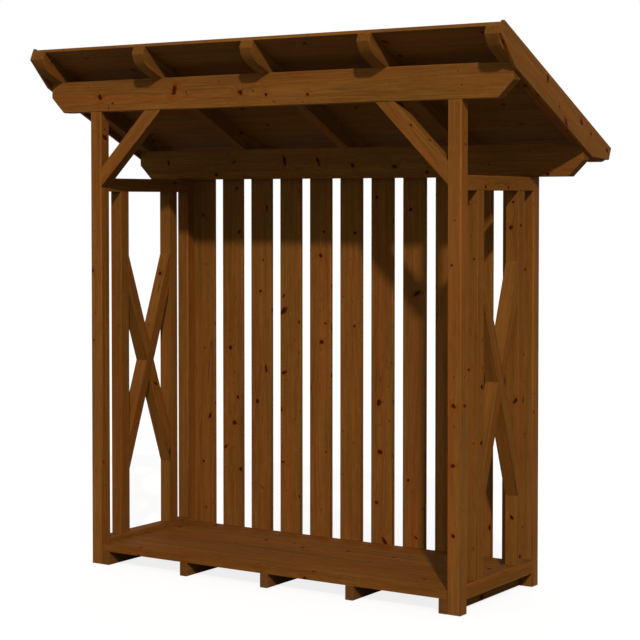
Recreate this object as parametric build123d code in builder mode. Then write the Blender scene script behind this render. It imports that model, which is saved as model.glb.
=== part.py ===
from build123d import *
import math
import os

# Log store: an open timber frame on floor bearers, with a boarded floor, a slatted back,
# a cross-braced panel in each side and a lean-to roof that falls from the front to the back.
#
# Frame of the part: millimetres, +X to the right along the front, +Y to the back, +Z up.
# The origin is at the bottom centre of the whole object's box.

# ---- driving dimensions --------------------------------------------------------------------------

FRAME_WIDTH = 1900.0          # outer face to outer face of the posts, along the front
FRAME_DEPTH = 694.0           # front face of the front posts to back face of the rear posts
FRONT_POST_HEIGHT = 2045.0
ROOF_PITCH = 25.0             # degrees, falling to the back

POST_WIDTH = 60.0             # section of posts, stiles, rails and diagonals, along X
POST_DEPTH = 56.0             # the same section, along Y

PURLIN_HEIGHT = 140.0
PURLIN_OVERHANG = 229.0       # past the outer face of the posts, each end
PURLIN_CHAMFER = 70.0         # cut off each lower end corner

RAFTER_COUNT = 5
RAFTER_WIDTH = 60.0
RAFTER_DEPTH = 70.0           # square to the slope
RAFTER_END_DEPTH = 35.0       # depth left at the tips, which are rounded from below
RAFTER_ROUND = 75.0           # length of each rounded end, along the slope
RAFTER_SEAT = 3.5             # how far a rafter drops over the front top edge of each purlin
EAVES_FRONT = 161.0           # rafter beyond the front face of the front purlin, along the slope
EAVES_BACK = 166.0            # rafter beyond the back face of the rear purlin, along the slope

ROOF_BOARD_COUNT = 8
ROOF_BOARD_THICKNESS = 16.0
VERGE_THICKNESS = 16.0
VERGE_UPSTAND = 6.0           # verge board above the roof boards
VERGE_DROP = 26.0             # verge board below the underside of the rafters
VERGE_TAPER = 155.0           # length of its tapered ends, along the slope

BEARER_WIDTH = 38.0
BEARER_HEIGHT = 60.0
BEARER_SPACING = 430.0        # between the centres of the three middle bearers

FLOOR_BOARD_COUNT = 5
FLOOR_BOARD_THICKNESS = 33.0
BOARD_JOINT = 1.5             # open joint between neighbouring floor or roof boards

BACK_BOARD_COUNT = 11
BACK_BOARD_WIDTH = 115.0
BACK_BOARD_THICKNESS = 20.0
BACK_BOARD_FOOT = 15.0        # clear height under the back boards
BACK_BOARD_HEADROOM = 10.0    # clear height between the back boards and the rafters over them

RAIL_HEIGHT = 60.0
RAIL_DROP = 3.0               # how far the bottom rails reach below the top of the bearers
STILE_GAP = 83.0              # clear slot between a post and the stile beside it
DIAGONAL_WIDTH = 53.0         # in the plane of the side panel
DIAGONAL_RISE = 832.0         # height that a diagonal gains from one stile to the other

BRACE_WIDTH = 63.0            # in the plane of the front
BRACE_LEG = 248.0             # post and purlin length in the corner of each front brace

# ---- places worked out from them -----------------------------------------------------------------

PITCH = math.radians(ROOF_PITCH)
POST_OUTSIDE = FRAME_WIDTH / 2
POST_INSIDE = POST_OUTSIDE - POST_WIDTH
POST_MIDDLE = POST_OUTSIDE - POST_WIDTH / 2
PURLIN_END = POST_OUTSIDE + PURLIN_OVERHANG
REAR_POST_HEIGHT = FRONT_POST_HEIGHT - (FRAME_DEPTH - POST_DEPTH) * math.tan(PITCH)

FLOOR_TOP = BEARER_HEIGHT + FLOOR_BOARD_THICKNESS
BOTTOM_RAIL_Z = BEARER_HEIGHT - RAIL_DROP
TOP_RAIL_Z = REAR_POST_HEIGHT - RAIL_HEIGHT

# Slope coordinates: u runs down the slope and v squarely up from the underside of the rafters,
# with u = 0 under the front face of the front purlin.
ROOF_TOP_U = -EAVES_FRONT
ROOF_FOOT_U = FRAME_DEPTH / math.cos(PITCH) + EAVES_BACK
ROOF_LENGTH = ROOF_FOOT_U - ROOF_TOP_U
VERGE_TOP_V = RAFTER_DEPTH + ROOF_BOARD_THICKNESS + VERGE_UPSTAND
END_LIFT = RAFTER_DEPTH - RAFTER_END_DEPTH

# The tips of the verge boards bound the object in Y, measured here from the front of the frame.
FRONT_TIP = ROOF_TOP_U * math.cos(PITCH) + END_LIFT * math.sin(PITCH)
BACK_TIP = ROOF_FOOT_U * math.cos(PITCH) + VERGE_TOP_V * math.sin(PITCH)
FRONT_Y = -(FRONT_TIP + BACK_TIP) / 2
BACK_Y = FRONT_Y + FRAME_DEPTH
REAR_POST_Y = BACK_Y - POST_DEPTH
UNDERSIDE_Z = FRONT_POST_HEIGHT + PURLIN_HEIGHT - RAFTER_SEAT


def export_piece(piece, name):
    """Label a finished piece and write its STEP file."""
    piece.part.label = name
    export_step(piece.part, f"parts/{name}.step")


def upright_box(name, corner, size):
    """Write a square-cut timber from its lowest corner and its size along X, Y and Z."""
    x, y, z = corner
    width, depth, height = size
    with BuildPart() as timber:
        with BuildSketch(Plane.XY.offset(z)):
            with Locations((x + width / 2, y + depth / 2)):
                Rectangle(width, depth)
        extrude(amount=height)
    export_piece(timber, name)


def slope_plane(x):
    """The plane across X = x whose own axes are the slope coordinates u and v."""
    down_slope = (0, math.cos(PITCH), -math.sin(PITCH))
    return Plane(origin=(x, FRONT_Y, UNDERSIDE_Z), x_dir=down_slope, z_dir=(1, 0, 0))


def rafter_outline():
    """Closed outline of a rafter in slope coordinates, both ends rounded from below."""
    underside = Line((ROOF_TOP_U + RAFTER_ROUND, 0), (ROOF_FOOT_U - RAFTER_ROUND, 0))
    foot = TangentArc(underside @ 1, (ROOF_FOOT_U, END_LIFT), tangent=(1, 0))
    head = TangentArc(underside @ 0, (ROOF_TOP_U, END_LIFT), tangent=(-1, 0))
    Polyline(foot @ 1, (ROOF_FOOT_U, RAFTER_DEPTH), (ROOF_TOP_U, RAFTER_DEPTH), head @ 1)


def verge_outline():
    """Closed outline of a verge board in slope coordinates, both ends tapered from below."""
    Polyline(
        (ROOF_TOP_U, END_LIFT),
        (ROOF_TOP_U + VERGE_TAPER, -VERGE_DROP),
        (ROOF_FOOT_U - VERGE_TAPER, -VERGE_DROP),
        (ROOF_FOOT_U, END_LIFT),
        (ROOF_FOOT_U, VERGE_TOP_V),
        (ROOF_TOP_U, VERGE_TOP_V),
        close=True,
    )


def diagonal_outline(slope_sign):
    """Outline of a side diagonal on the YZ plane: slope_sign -1 falls to the back, +1 rises."""
    half_run = (FRAME_DEPTH - 2 * (2 * POST_DEPTH + STILE_GAP)) / 2
    half_rise = slope_sign * DIAGONAL_RISE / 2
    half_height = DIAGONAL_WIDTH * math.hypot(half_run, half_rise) / half_run / 2
    middle_y = FRONT_Y + FRAME_DEPTH / 2
    middle_z = (BOTTOM_RAIL_Z + RAIL_HEIGHT + TOP_RAIL_Z) / 2
    Polyline(
        (middle_y - half_run, middle_z - half_rise - half_height),
        (middle_y + half_run, middle_z + half_rise - half_height),
        (middle_y + half_run, middle_z + half_rise + half_height),
        (middle_y - half_run, middle_z - half_rise + half_height),
        close=True,
    )


def diagonal(name, x, slope_sign, lap_x):
    """Write a side diagonal that starts at X = x and is halved from X = lap_x where it crosses."""
    with BuildPart() as timber:
        with BuildSketch(Plane.YZ.offset(x)):
            with BuildLine():
                diagonal_outline(slope_sign)
            make_face()
        extrude(amount=POST_WIDTH)
        with BuildSketch(Plane.YZ.offset(lap_x)):
            with BuildLine():
                diagonal_outline(-slope_sign)
            make_face()
        extrude(amount=POST_WIDTH / 2, mode=Mode.SUBTRACT)
    export_piece(timber, name)


os.makedirs("parts", exist_ok=True)

# ---- floor: bearers on the ground and the boards that run across them ----------------------------

bearer_centres = [
    -POST_INSIDE + BEARER_WIDTH / 2,
    -BEARER_SPACING,
    0.0,
    BEARER_SPACING,
    POST_INSIDE - BEARER_WIDTH / 2,
]
for number, centre in enumerate(bearer_centres, start=1):
    upright_box(
        f"bearer_{number}",
        (centre - BEARER_WIDTH / 2, FRONT_Y, 0),
        (BEARER_WIDTH, FRAME_DEPTH, BEARER_HEIGHT),
    )

floor_pitch = (FRAME_DEPTH + BOARD_JOINT) / FLOOR_BOARD_COUNT
with BuildPart() as floor_boards:
    with BuildSketch(Plane.XY.offset(BEARER_HEIGHT)):
        with Locations((0, FRONT_Y + FRAME_DEPTH / 2)):
            with GridLocations(0, floor_pitch, 1, FLOOR_BOARD_COUNT):
                Rectangle(2 * POST_INSIDE, floor_pitch - BOARD_JOINT)
    extrude(amount=FLOOR_BOARD_THICKNESS)
export_piece(floor_boards, "floor_boards")

# ---- posts, and the purlins that lie on them -----------------------------------------------------

post_rows = [("front", FRONT_Y, FRONT_POST_HEIGHT), ("rear", REAR_POST_Y, REAR_POST_HEIGHT)]
for row, y, height in post_rows:
    for side, x in [("left", -POST_OUTSIDE), ("right", POST_INSIDE)]:
        upright_box(f"post_{row}_{side}", (x, y, 0), (POST_WIDTH, POST_DEPTH, height))

    with BuildPart() as purlin:
        with BuildSketch(Plane.XZ.offset(-y)) as profile:
            with Locations((0, height + PURLIN_HEIGHT / 2)):
                Rectangle(2 * PURLIN_END, PURLIN_HEIGHT)
            lower_corners = profile.vertices().group_by(Axis.Y)[0]
            chamfer(lower_corners, PURLIN_CHAMFER)
        extrude(amount=-POST_DEPTH)
    export_piece(purlin, f"purlin_{row}")

# ---- front braces, from each front post up to the front purlin -----------------------------------

outer_leg = BRACE_LEG + BRACE_WIDTH * math.sqrt(2)
for side, face_x, inward in [("left", -POST_INSIDE, 1), ("right", POST_INSIDE, -1)]:
    with BuildPart() as brace:
        with BuildSketch(Plane.XZ.offset(-FRONT_Y)):
            with BuildLine():
                Polyline(
                    (face_x, FRONT_POST_HEIGHT - BRACE_LEG),
                    (face_x + inward * BRACE_LEG, FRONT_POST_HEIGHT),
                    (face_x + inward * outer_leg, FRONT_POST_HEIGHT),
                    (face_x, FRONT_POST_HEIGHT - outer_leg),
                    close=True,
                )
            make_face()
        extrude(amount=-POST_DEPTH)
    export_piece(brace, f"brace_{side}")

# ---- side panels: two rails, two stiles and two halved diagonals in each side --------------------

rail_length = FRAME_DEPTH - 2 * POST_DEPTH
stile_height = TOP_RAIL_Z - BOTTOM_RAIL_Z - RAIL_HEIGHT
stile_rows = [
    ("front", FRONT_Y + POST_DEPTH + STILE_GAP),
    ("rear", REAR_POST_Y - STILE_GAP - POST_DEPTH),
]
side_panels = [
    ("left", -POST_OUTSIDE, -POST_OUTSIDE, -POST_MIDDLE),
    ("right", POST_INSIDE, POST_MIDDLE, POST_INSIDE),
]
for side, x, outer_half_x, inner_half_x in side_panels:
    for level, z in [("bottom", BOTTOM_RAIL_Z), ("top", TOP_RAIL_Z)]:
        upright_box(
            f"rail_{level}_{side}",
            (x, FRONT_Y + POST_DEPTH, z),
            (POST_WIDTH, rail_length, RAIL_HEIGHT),
        )
    for row, y in stile_rows:
        upright_box(
            f"stile_{row}_{side}",
            (x, y, BOTTOM_RAIL_Z + RAIL_HEIGHT),
            (POST_WIDTH, POST_DEPTH, stile_height),
        )
    diagonal(f"diagonal_falling_{side}", x, -1, lap_x=inner_half_x)
    diagonal(f"diagonal_rising_{side}", x, 1, lap_x=outer_half_x)

# ---- back boards, upright on the back of the floor and of the rear purlin ------------------------

back_pitch = (2 * POST_INSIDE - BACK_BOARD_WIDTH) / (BACK_BOARD_COUNT - 1)
back_board_fall = (FRAME_DEPTH + BACK_BOARD_THICKNESS) * math.tan(PITCH)
with BuildPart() as back_boards:
    with BuildSketch(Plane.XY.offset(BACK_BOARD_FOOT)):
        with Locations((0, BACK_Y + BACK_BOARD_THICKNESS / 2)):
            with GridLocations(back_pitch, 0, BACK_BOARD_COUNT, 1):
                Rectangle(BACK_BOARD_WIDTH, BACK_BOARD_THICKNESS)
    extrude(amount=UNDERSIDE_Z - back_board_fall - BACK_BOARD_HEADROOM - BACK_BOARD_FOOT)
export_piece(back_boards, "back_boards")

# ---- roof: rafters notched over both purlins, boards across them, a verge board at each end ------

rafter_pitch = (2 * PURLIN_END - RAFTER_WIDTH) / (RAFTER_COUNT - 1)
for index in range(RAFTER_COUNT):
    rafter_x = -PURLIN_END + index * rafter_pitch
    with BuildPart() as rafter:
        with BuildSketch(slope_plane(rafter_x)):
            with BuildLine():
                rafter_outline()
            make_face()
        extrude(amount=RAFTER_WIDTH)
        with BuildSketch(Plane.YZ.offset(rafter_x)):
            for row, y, height in post_rows:
                with Locations((y + POST_DEPTH / 2, height + PURLIN_HEIGHT / 2)):
                    Rectangle(POST_DEPTH, PURLIN_HEIGHT)
        extrude(amount=RAFTER_WIDTH, mode=Mode.SUBTRACT)
    export_piece(rafter, f"rafter_{index + 1}")

roof_pitch_u = (ROOF_LENGTH + BOARD_JOINT) / ROOF_BOARD_COUNT
with BuildPart() as roof_boards:
    with BuildSketch(slope_plane(-PURLIN_END)):
        with Locations(((ROOF_TOP_U + ROOF_FOOT_U) / 2, RAFTER_DEPTH + ROOF_BOARD_THICKNESS / 2)):
            with GridLocations(roof_pitch_u, 0, ROOF_BOARD_COUNT, 1):
                Rectangle(roof_pitch_u - BOARD_JOINT, ROOF_BOARD_THICKNESS)
    extrude(amount=2 * PURLIN_END)
export_piece(roof_boards, "roof_boards")

for side, x in [("left", -PURLIN_END - VERGE_THICKNESS), ("right", PURLIN_END)]:
    with BuildPart() as verge_board:
        with BuildSketch(slope_plane(x)):
            with BuildLine():
                verge_outline()
            make_face()
        extrude(amount=VERGE_THICKNESS)
    export_piece(verge_board, f"verge_board_{side}")

print(f"size {2 * (PURLIN_END + VERGE_THICKNESS):.0f} x {BACK_TIP - FRONT_TIP:.0f} mm")
print(f"rear posts {REAR_POST_HEIGHT:.1f} mm, floor top {FLOOR_TOP:.1f} mm, back at y {BACK_Y:.1f}")
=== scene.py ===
"""Open timber log store: its looks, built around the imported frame.

Every timber is cut, trimmed, halved or notched here as its own length of wood, has its arrises
rounded, and is put where the frame says. Each one carries its own grain coordinates, so that rings,
fibres and knots run along it whichever way it lies. Sizes are in metres.
"""

import logging
import math
import random
from dataclasses import dataclass, field
from enum import Enum
from functools import reduce
from typing import Callable

import bmesh
import bpy
from mathutils import Matrix, Vector


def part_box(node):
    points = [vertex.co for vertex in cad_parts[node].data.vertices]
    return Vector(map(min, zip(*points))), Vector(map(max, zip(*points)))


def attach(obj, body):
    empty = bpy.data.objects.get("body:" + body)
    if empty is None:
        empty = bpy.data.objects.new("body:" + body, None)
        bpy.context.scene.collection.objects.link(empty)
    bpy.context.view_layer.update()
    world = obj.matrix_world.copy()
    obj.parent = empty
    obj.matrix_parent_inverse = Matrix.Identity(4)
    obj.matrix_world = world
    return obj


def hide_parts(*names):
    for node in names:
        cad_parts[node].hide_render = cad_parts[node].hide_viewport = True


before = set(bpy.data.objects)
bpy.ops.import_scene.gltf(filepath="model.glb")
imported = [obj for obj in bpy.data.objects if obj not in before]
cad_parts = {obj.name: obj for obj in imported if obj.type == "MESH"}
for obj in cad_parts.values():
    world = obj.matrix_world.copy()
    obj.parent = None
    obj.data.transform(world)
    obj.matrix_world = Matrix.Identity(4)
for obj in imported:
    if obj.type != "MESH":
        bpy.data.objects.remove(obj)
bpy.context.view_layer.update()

logging.basicConfig(level=logging.INFO, format="%(message)s")
log = logging.getLogger("log_store")

BODY = "root"
PITCH = math.radians(25.0)
X, Y, Z = Vector((1, 0, 0)), Vector((0, 1, 0)), Vector((0, 0, 1))
DOWN_SLOPE = Vector((0, math.cos(PITCH), -math.sin(PITCH)))
UP_FROM_SLOPE = Vector((0, math.sin(PITCH), math.cos(PITCH)))

Colour = tuple[float, float, float, float]
GREEN_CURVE, BLUE_CURVE = 1.08, 1.15  # how much faster than red these rise and fall with the stain


class Side(Enum):
    """The two ends of the store, with the direction that points outwards along X."""

    LEFT = -1
    RIGHT = 1

    @property
    def word(self) -> str:
        """The side's name as the nodes spell it."""
        return self.name.lower()


class Row(Enum):
    """The front and the rear row of posts."""

    FRONT = "front"
    REAR = "rear"


class Slope(Enum):
    """Which way a side diagonal runs from the front of the panel to its back."""

    FALLING = -1
    RISING = 1


class Stain(Enum):
    """Brown stain on softwood: NUT, and DEEP, a little darker, which the bearers and the roof boards
    have.
    """

    NUT = (0.160, 0.0545, 0.0090)
    DEEP = (0.140, 0.0490, 0.0084)

    def shade(self, level: float) -> Colour:
        """The stain made lighter or darker.

        Args:
            level: 1 for the stain itself, more for lighter.

        Returns:
            The colour with an alpha of 1.
        """
        red, green, blue = self.value
        return (red * level, green * level ** GREEN_CURVE, blue * level ** BLUE_CURVE, 1.0)


class Laying(Enum):
    """How one colour is laid on another."""

    COVER = "MIX"
    TINT = "MULTIPLY"


class Pattern(Enum):
    """Smooth patterns: features per metre along, across and through the board, then octaves.

    DIRT lies on the whole store, so its features are counted along X, Y and Z.
    """

    RAGGED = (1.0, 1.0, 1.0, 3.0)
    WANDER = (0.75, 4.0, 4.0, 1.0)
    WAVER = (6.0, 30.0, 30.0, 1.0)
    STREAKS = (0.9, 46.0, 46.0, 3.0)
    FLECKS = (4.5, 105.0, 105.0, 3.0)
    FIBRE = (9.0, 520.0, 520.0, 2.0)
    BLOTCH = (2.4, 9.0, 9.0, 4.0)
    HUE = (0.8, 19.0, 19.0, 2.0)
    SCUFF = (22.0, 130.0, 130.0, 3.0)
    BROKEN_ARRIS = (14.0, 160.0, 160.0, 3.0)
    SOAKED_END = (90.0, 90.0, 90.0, 3.0)
    CRACK_LINE = (0.55, 17.0, 17.0, 1.0)
    CRACKED_PLACE = (2.1, 9.0, 9.0, 1.0)
    DIRT = (9.0, 9.0, 14.0, 4.0)


# ---- node wiring ---------------------------------------------------------------------------------

Socket = bpy.types.NodeSocket
Sockets = dict[str, Socket]
Outputs = Callable[[str], Socket]
MIX_SHARE, MIX_UNDER, MIX_OVER, MIX_RESULT = 0, 6, 7, 2  # the Mix node's sockets for colours


@dataclass
class Wiring:
    """Adds and joins nodes in one node tree."""

    tree: bpy.types.NodeTree

    @classmethod
    def fresh(cls, owner: bpy.types.Material | bpy.types.World) -> "Wiring":
        """Clear the nodes of a material or a world.

        Args:
            owner: the material or world.

        Returns:
            The wiring of its empty tree.
        """
        owner.use_nodes = True
        owner.node_tree.nodes.clear()
        return cls(owner.node_tree)

    def node(self, kind: str, **settings: object) -> bpy.types.Node:
        """Add a node.

        Args:
            kind: the node's type name.
            settings: properties to set on it.

        Returns:
            The new node.
        """
        made = self.tree.nodes.new(kind)
        for name, value in settings.items():
            setattr(made, name, value)
        return made

    def feed(self, socket: Socket, value: object) -> None:
        """Join an output to an input, or set the input to a constant.

        Args:
            socket: the input.
            value: another node's output, or a plain value.
        """
        if isinstance(value, Socket):
            self.tree.links.new(value, socket)
        else:
            socket.default_value = value

    def math(self, operation: str, *values: object, clamp: bool = False) -> Socket:
        """A Math node on up to three values.

        Args:
            operation: the node's operation.
            values: outputs or numbers.
            clamp: whether the result is held between 0 and 1.

        Returns:
            The result's socket.
        """
        made = self.node("ShaderNodeMath", operation=operation, use_clamp=clamp)
        for socket, value in zip(made.inputs, values):
            self.feed(socket, value)
        return made.outputs[0]

    def times(self, *values: object) -> Socket:
        """The product of the values."""
        return reduce(lambda one, two: self.math("MULTIPLY", one, two), values)

    def plus(self, *values: object) -> Socket:
        """The sum of the values."""
        return reduce(lambda one, two: self.math("ADD", one, two), values)

    def minus(self, whole: object, part: object) -> Socket:
        """The first value less the second."""
        return self.math("SUBTRACT", whole, part)

    def ratio(self, one: object, two: object) -> Socket:
        """The first value divided by the second."""
        return self.math("DIVIDE", one, two)

    def scaled(self, value: object, factor: object, start: object, clamp: bool = False) -> Socket:
        """The value times a factor, counted up from a start."""
        return self.math("MULTIPLY_ADD", value, factor, start, clamp=clamp)

    def swing(self, chance: object, size: object, middle: object = 0.0) -> Socket:
        """A value of 0 to 1 made one that swings about a middle, over a range of that size."""
        return self.scaled(self.minus(chance, 0.5), size, middle)

    def vector(self, operation: str, *values: object, output: str = "Vector") -> Socket:
        """A Vector Math node.

        Args:
            operation: the node's operation.
            values: outputs or triples.
            output: the name of the output wanted.

        Returns:
            The result's socket.
        """
        made = self.node("ShaderNodeVectorMath", operation=operation)
        for socket, value in zip(made.inputs, values):
            self.feed(socket, value)
        return made.outputs[output]

    def split(self, vector: Socket) -> tuple[Socket, ...]:
        """The X, Y and Z of a vector.

        Args:
            vector: the vector's socket.

        Returns:
            Its three parts.
        """
        made = self.node("ShaderNodeSeparateXYZ")
        self.feed(made.inputs[0], vector)
        return tuple(made.outputs)

    def joined(self, *parts: object) -> Socket:
        """A vector made of three parts.

        Args:
            parts: outputs or numbers for X, Y and Z.

        Returns:
            The vector's socket.
        """
        made = self.node("ShaderNodeCombineXYZ")
        for socket, value in zip(made.inputs, parts):
            self.feed(socket, value)
        return made.outputs[0]

    def shifted(self, place: Socket, lot: Socket, shift: tuple[float, float, float]) -> Socket:
        """A board's place in a pattern, moved by its lot so that no two boards show the same."""
        return self.vector("ADD", place, self.vector("MULTIPLY", lot, shift))

    def ramp(
        self, value: object, low: object, high: object, first: float = 0.0, last: float = 1.0,
    ) -> Socket:
        """A smooth step from one value to another.

        Args:
            value: what is compared.
            low: where the step starts.
            high: where the step ends.
            first: the result at and below the start.
            last: the result at and above the end.

        Returns:
            The step's socket.
        """
        made = self.node("ShaderNodeMapRange", interpolation_type="SMOOTHSTEP")
        names = ("Value", "From Min", "From Max", "To Min", "To Max")
        for name, part in zip(names, (value, low, high, first, last)):
            self.feed(made.inputs[name], part)
        return made.outputs["Result"]

    def fade(self, value: object, low: object, high: object) -> Socket:
        """A smooth step down from 1 to 0."""
        return self.ramp(value, low, high, 1.0, 0.0)

    def noise(self, place: Socket, pattern: Pattern) -> Socket:
        """A smooth pattern.

        Args:
            place: where it is read, in metres.
            pattern: which one.

        Returns:
            Its value, about 0 to 1.
        """
        *stretch, octaves = pattern.value
        made = self.node("ShaderNodeTexNoise", noise_dimensions="3D")
        self.feed(made.inputs["Vector"], self.vector("MULTIPLY", place, stretch))
        made.inputs["Scale"].default_value = 1.0
        made.inputs["Detail"].default_value = octaves
        return made.outputs[0]

    def blend(
        self, share: object, under: object, over: object, laying: Laying = Laying.COVER,
    ) -> Socket:
        """One colour laid on another.

        Args:
            share: how much of the second shows.
            under: the first colour.
            over: the second colour.
            laying: how it is laid on.

        Returns:
            The resulting colour.
        """
        made = self.node("ShaderNodeMix", data_type="RGBA", blend_type=laying.value)
        self.feed(made.inputs[MIX_SHARE], share)
        self.feed(made.inputs[MIX_UNDER], under)
        self.feed(made.inputs[MIX_OVER], over)
        return made.outputs[MIX_RESULT]


@dataclass(frozen=True)
class Effect:
    """An effect that several finishes share, kept as one shader node group.

    Attributes:
        name: the group's name.
        vectors: the names of its vector inputs.
        numbers: the names of its number inputs.
        gives: the names of its outputs, which are numbers.
        wire: fills the group, from its wiring and its inputs by name, and returns its outputs.
    """

    name: str
    vectors: tuple[str, ...]
    numbers: tuple[str, ...]
    gives: tuple[str, ...]
    wire: Callable[[Wiring, Sockets], Sockets]

    def group(self) -> bpy.types.NodeTree:
        """The effect's node group, built the first time it is asked for.

        Returns:
            The group.
        """
        if self.name in bpy.data.node_groups:
            return bpy.data.node_groups[self.name]
        tree = bpy.data.node_groups.new(self.name, "ShaderNodeTree")
        for names, in_out, kind in (
            (self.vectors, "INPUT", "NodeSocketVector"),
            (self.numbers, "INPUT", "NodeSocketFloat"),
            (self.gives, "OUTPUT", "NodeSocketFloat"),
        ):
            for name in names:
                tree.interface.new_socket(name, in_out=in_out, socket_type=kind)
        wiring = Wiring(tree)
        given = wiring.node("NodeGroupInput")
        result = wiring.node("NodeGroupOutput")
        inputs = {name: given.outputs[name] for name in (*self.vectors, *self.numbers)}
        for name, socket in self.wire(wiring, inputs).items():
            wiring.feed(result.inputs[name], socket)
        return tree

    def place(self, wiring: Wiring, **values: object) -> Outputs:
        """Put the effect in a material.

        Args:
            wiring: the material's wiring.
            values: each input's value or socket, with _ for a space in its name.

        Returns:
            A function from an output's name to its socket.
        """
        made = wiring.node("ShaderNodeGroup")
        made.node_tree = self.group()
        for name, value in values.items():
            wiring.feed(made.inputs[name.replace("_", " ")], value)
        return lambda name: made.outputs[name]


# ---- effects in the wood -------------------------------------------------------------------------

KNOT_SHIFT = (37.0, 53.0, 0.0)   # how a board's lot moves its knots, its grain and its cracks
GRAIN_SHIFT = (23.0, 11.0, 0.0)
CRACK_SHIFT = (5.0, 3.0, 0.0)
FACE_SHIFT = (0.0, 3.7, 9.1)     # moves the knots, so that each long face of a board has its own
CELL_STRETCH = 1.8               # how much longer than wide the place of one knot is
CELL_SCATTER = 0.9               # how far from the middle of its place a knot may lie
KNOTTINESS = (1.3, 0.4)          # range and least of a board's knots, against its finish's share
KNOT_SIZES = (1.1, 0.4)          # range and least of a knot's radius, against the middling one
KNOT_LEAN = 5.0                  # the range of angles at which drawn-out knots lean, in radians
CORE_EDGE = 0.55                 # where a knot's dark core starts to pale, in its radii
HEART_EDGE = 0.6                 # where its darkest part ends
HALO_EDGE = 2.6                  # where its reddish rim ends
RAGGED_SIZE = 0.65               # how many ragged features a radius holds
RAGGED_REACH = 1.3               # how far the ragged outline strays, in radii
PULL_REACH = 2.2                 # how far out a knot bends the rings, in radii
HEART_SPREAD = 0.11              # range, across the board, of where its tree's heart lay
HEART_RANGE = 0.06               # the same through the board, from the least on
HEART_LEAST = 0.018
RING_WANDER = 0.034              # range of the rings' long bends
RING_WAVER = 0.0022              # range of their short ones
# the next two shape the pale arrises, which are partly wear and partly a painted highlight
ARRIS_BREAKS = (1.4, 0.2)        # range and least of the wear's reach, against its finish's
NARROWEST_PALE_ARRIS = 0.0003             # the narrowest wear on an arris
CRACK_WIDTH = 0.006              # in the crack pattern's own measure
CRACK_RUN = 0.08                 # how softly a crack starts and ends, in the same
SPLASH_HEIGHT = 0.16             # how high the ground splashes


def wire_knots(w: Wiring, given: Sockets) -> Sockets:
    """Dark ragged knots in a board's long faces, with the grain drawn round them.

    Args:
        w: the group's wiring.
        given: its inputs by name.

    Returns:
        Its outputs by name.
    """
    along, across, through = w.split(given["Place"])
    face_x, face_y, face_z = w.split(w.vector("ABSOLUTE", given["Facing"]))
    over_width = w.times(across, w.math("ROUND", face_z))
    over_depth = w.times(through, w.math("ROUND", face_y))
    turned = w.vector("DOT_PRODUCT", given["Facing"], FACE_SHIFT, output="Value")
    cell_u = w.plus(w.ratio(w.ratio(along, CELL_STRETCH), given["Spacing"]), turned)
    cell_v = w.ratio(w.plus(over_width, over_depth), given["Spacing"])
    cells = w.shifted(w.joined(cell_u, cell_v, 0.0), given["Lot"], KNOT_SHIFT)
    found = w.node("ShaderNodeTexVoronoi", voronoi_dimensions="2D", feature="F1")
    w.feed(found.inputs["Vector"], cells)
    found.inputs["Scale"].default_value = 1.0
    found.inputs["Randomness"].default_value = CELL_SCATTER
    size, chance, shape = w.split(found.outputs["Color"])
    share = w.times(given["Share"], w.scaled(w.split(given["Lot"])[1], *KNOTTINESS))
    there = w.times(w.math("LESS_THAN", chance, share), w.math("LESS_THAN", face_x, 0.5))
    radius = w.times(given["Radius"], w.scaled(size, *KNOT_SIZES))
    off = w.vector("SUBTRACT", cells, found.outputs["Position"])
    off = w.vector("MULTIPLY", off, (CELL_STRETCH, 1.0, 1.0))
    leaning = w.node("ShaderNodeVectorRotate", rotation_type="Z_AXIS")
    w.feed(leaning.inputs["Vector"], off)
    w.feed(leaning.inputs["Angle"], w.swing(shape, KNOT_LEAN))
    leant_u, leant_v, _ = w.split(leaning.outputs[0])
    long = w.scaled(w.math("POWER", w.ratio(chance, share), 3.0), given["Stretch"], 1.0)
    reach = w.vector("LENGTH", w.joined(w.ratio(leant_u, long), leant_v, 0.0), output="Value")
    reach = w.times(reach, given["Spacing"])
    scale = w.ratio(RAGGED_SIZE, given["Radius"])
    in_radii = w.vector("MULTIPLY", given["Place"], w.joined(scale, scale, scale))
    outline = w.noise(in_radii, Pattern.RAGGED)
    reach = w.swing(outline, w.times(radius, RAGGED_REACH), reach)
    core = w.times(w.fade(reach, w.times(radius, CORE_EDGE), radius), there)
    halo = w.times(w.fade(reach, radius, w.times(radius, HALO_EDGE)), there)
    heart = w.times(w.fade(reach, 0.0, w.times(radius, HEART_EDGE)), there)
    spread = w.ratio(reach, w.times(radius, PULL_REACH))
    near = w.math("EXPONENT", w.times(spread, spread, -1.0))
    side = w.math("SIGN", w.split(off)[1])
    pull = w.times(side, near, w.times(radius, there))
    rim = w.math("SUBTRACT", halo, core, clamp=True)
    return {"Core": core, "Halo": rim, "Heart": heart, "Pull": pull}


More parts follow.
